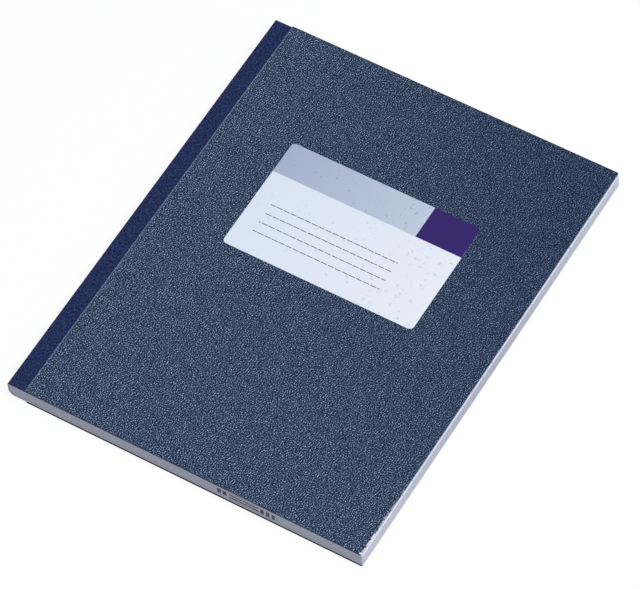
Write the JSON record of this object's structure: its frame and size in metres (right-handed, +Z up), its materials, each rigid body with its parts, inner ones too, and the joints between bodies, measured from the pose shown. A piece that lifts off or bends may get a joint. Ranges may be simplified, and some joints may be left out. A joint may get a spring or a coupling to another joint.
{
  "type": "glue-bound notebook",
  "caption": "Closed notebook with grained card covers, a cloth spine tape and a paper label on the front; the covers open and the glued leaves turn on the spine.",
  "frame": {"origin": "under the middle of the closed notebook, on the surface that it lies on", "axes": "+X from the spine to the fore-edge, +Y from tail to head, +Z up through the front cover"},
  "size_m": [0.165, 0.21, 0.0092],
  "materials": {
    "cloth_tape": "coated navy binding cloth",
    "binding_glue": "dried cold glue",
    "writing_paper": "matt uncoated",
    "dyed_card": "matt, dyed through",
    "grained_paper": "embossed grain, satin",
    "label_paper": "matt, flecked"
  },
  "bodies": {
    "spine": {"spine_tape": "cloth_tape", "spine_glue": "binding_glue", "bound_margins": "writing_paper"},
    "front_cover": {"front_tape": "cloth_tape", "front_board": "dyed_card", "front_face": "grained_paper", "front_label": "label_paper"},
    "back_cover": {"back_tape": "cloth_tape", "back_board": "dyed_card", "back_face": "grained_paper"},
    "leaves_01": {"leaves_01": "writing_paper"},
    "leaves_02": {"leaves_02": "writing_paper"},
    "leaves_03": {"leaves_03": "writing_paper"},
    "leaves_04": {"leaves_04": "writing_paper"},
    "leaves_05": {"leaves_05": "writing_paper"},
    "leaves_06": {"leaves_06": "writing_paper"},
    "leaves_07": {"leaves_07": "writing_paper"},
    "leaves_08": {"leaves_08": "writing_paper"},
    "leaves_09": {"leaves_09": "writing_paper"},
    "leaves_10": {"leaves_10": "writing_paper"},
    "leaves_11": {"leaves_11": "writing_paper"},
    "leaves_12": {"leaves_12": "writing_paper"},
    "leaves_13": {"leaves_13": "writing_paper"},
    "leaves_14": {"leaves_14": "writing_paper"},
    "leaves_15": {"leaves_15": "writing_paper"},
    "leaves_16": {"leaves_16": "writing_paper"},
    "leaves_17": {"leaves_17": "writing_paper"},
    "leaves_18": {"leaves_18": "writing_paper"},
    "leaves_19": {"leaves_19": "writing_paper"},
    "leaves_20": {"leaves_20": "writing_paper"}
  },
  "joints": [
    {"name": "front_cover_hinge", "type": "hinge", "parent": "spine", "child": "front_cover", "pos_m": [-0.0825, 0, 0.00816], "axis": [0, -1, 0], "range_deg": [0, 181]},
    {"name": "back_cover_hinge", "type": "hinge", "parent": "spine", "child": "back_cover", "pos_m": [-0.0795, 0, 0.00095], "axis": [0, 1, 0], "range_deg": [0, 180]},
    {"name": "leaves_01_fold", "type": "hinge", "parent": "spine", "child": "leaves_01", "pos_m": [-0.08037, 0, 0.00775], "axis": [0, -1, 0], "range_deg": [0, 150.05]},
    {"name": "leaves_02_fold", "type": "hinge", "parent": "spine", "child": "leaves_02", "pos_m": [-0.07912, 0, 0.00741], "axis": [0, -1, 0], "range_deg": [0, 142.55]},
    {"name": "leaves_03_fold", "type": "hinge", "parent": "spine", "child": "leaves_03", "pos_m": [-0.07813, 0, 0.00708], "axis": [0, -1, 0], "range_deg": [0, 135.05]},
    {"name": "leaves_04_fold", "type": "hinge", "parent": "spine", "child": "leaves_04", "pos_m": [-0.07731, 0, 0.00674], "axis": [0, -1, 0], "range_deg": [0, 127.55]},
    {"name": "leaves_05_fold", "type": "hinge", "parent": "spine", "child": "leaves_05", "pos_m": [-0.07663, 0, 0.0064], "axis": [0, -1, 0], "range_deg": [0, 120.05]},
    {"name": "leaves_06_fold", "type": "hinge", "parent": "spine", "child": "leaves_06", "pos_m": [-0.07605, 0, 0.00607], "axis": [0, -1, 0], "range_deg": [0, 112.55]},
    {"name": "leaves_07_fold", "type": "hinge", "parent": "spine", "child": "leaves_07", "pos_m": [-0.07555, 0, 0.00573], "axis": [0, -1, 0], "range_deg": [0, 105.05]},
    {"name": "leaves_08_fold", "type": "hinge", "parent": "spine", "child": "leaves_08", "pos_m": [-0.07511, 0, 0.0054], "axis": [0, -1, 0], "range_deg": [0, 97.55]},
    {"name": "leaves_09_fold", "type": "hinge", "parent": "spine", "child": "leaves_09", "pos_m": [-0.07473, 0, 0.00506], "axis": [0, -1, 0], "range_deg": [0, 90.05]},
    {"name": "leaves_10_fold", "type": "hinge", "parent": "spine", "child": "leaves_10", "pos_m": [-0.07439, 0, 0.00472], "axis": [0, -1, 0], "range_deg": [0, 82.55]},
    {"name": "leaves_11_fold", "type": "hinge", "parent": "spine", "child": "leaves_11", "pos_m": [-0.0741, 0, 0.00439], "axis": [0, -1, 0], "range_deg": [0, 75.05]},
    {"name": "leaves_12_fold", "type": "hinge", "parent": "spine", "child": "leaves_12", "pos_m": [-0.07384, 0, 0.00405], "axis": [0, -1, 0], "range_deg": [0, 67.55]},
    {"name": "leaves_13_fold", "type": "hinge", "parent": "spine", "child": "leaves_13", "pos_m": [-0.07361, 0, 0.00372], "axis": [0, -1, 0], "range_deg": [0, 60.05]},
    {"name": "leaves_14_fold", "type": "hinge", "parent": "spine", "child": "leaves_14", "pos_m": [-0.07342, 0, 0.00338], "axis": [0, -1, 0], "range_deg": [0, 52.55]},
    {"name": "leaves_15_fold", "type": "hinge", "parent": "spine", "child": "leaves_15", "pos_m": [-0.07326, 0, 0.00304], "axis": [0, -1, 0], "range_deg": [0, 45.05]},
    {"name": "leaves_16_fold", "type": "hinge", "parent": "spine", "child": "leaves_16", "pos_m": [-0.07312, 0, 0.00271], "axis": [0, -1, 0], "range_deg": [0, 37.55]},
    {"name": "leaves_17_fold", "type": "hinge", "parent": "spine", "child": "leaves_17", "pos_m": [-0.073, 0, 0.00237], "axis": [0, -1, 0], "range_deg": [0, 30.05]},
    {"name": "leaves_18_fold", "type": "hinge", "parent": "spine", "child": "leaves_18", "pos_m": [-0.07291, 0, 0.00204], "axis": [0, -1, 0], "range_deg": [0, 22.55]},
    {"name": "leaves_19_fold", "type": "hinge", "parent": "spine", "child": "leaves_19", "pos_m": [-0.07284, 0, 0.0017], "axis": [0, -1, 0], "range_deg": [0, 15.05]},
    {"name": "leaves_20_fold", "type": "hinge", "parent": "spine", "child": "leaves_20", "pos_m": [-0.0728, 0, 0.00136], "axis": [0, -1, 0], "range_deg": [0, 7.55]}
  ],
  "couplings": [
    {"joint": "leaves_01_fold", "follows": "front_cover_hinge", "ratio": 0.82873},
    {"joint": "leaves_02_fold", "follows": "front_cover_hinge", "ratio": 0.78729},
    {"joint": "leaves_03_fold", "follows": "front_cover_hinge", "ratio": 0.74586},
    {"joint": "leaves_04_fold", "follows": "front_cover_hinge", "ratio": 0.70442},
    {"joint": "leaves_05_fold", "follows": "front_cover_hinge", "ratio": 0.66298},
    {"joint": "leaves_06_fold", "follows": "front_cover_hinge", "ratio": 0.62155},
    {"joint": "leaves_07_fold", "follows": "front_cover_hinge", "ratio": 0.58011},
    {"joint": "leaves_08_fold", "follows": "front_cover_hinge", "ratio": 0.53867},
    {"joint": "leaves_09_fold", "follows": "front_cover_hinge", "ratio": 0.49724},
    {"joint": "leaves_10_fold", "follows": "front_cover_hinge", "ratio": 0.4558},
    {"joint": "leaves_11_fold", "follows": "front_cover_hinge", "ratio": 0.41436},
    {"joint": "leaves_12_fold", "follows": "front_cover_hinge", "ratio": 0.37293},
    {"joint": "leaves_13_fold", "follows": "front_cover_hinge", "ratio": 0.33149},
    {"joint": "leaves_14_fold", "follows": "front_cover_hinge", "ratio": 0.29006},
    {"joint": "leaves_15_fold", "follows": "front_cover_hinge", "ratio": 0.24862},
    {"joint": "leaves_16_fold", "follows": "front_cover_hinge", "ratio": 0.20718},
    {"joint": "leaves_17_fold", "follows": "front_cover_hinge", "ratio": 0.16575},
    {"joint": "leaves_18_fold", "follows": "front_cover_hinge", "ratio": 0.12431},
    {"joint": "leaves_19_fold", "follows": "front_cover_hinge", "ratio": 0.082873},
    {"joint": "leaves_20_fold", "follows": "front_cover_hinge", "ratio": 0.041436}
  ]
}
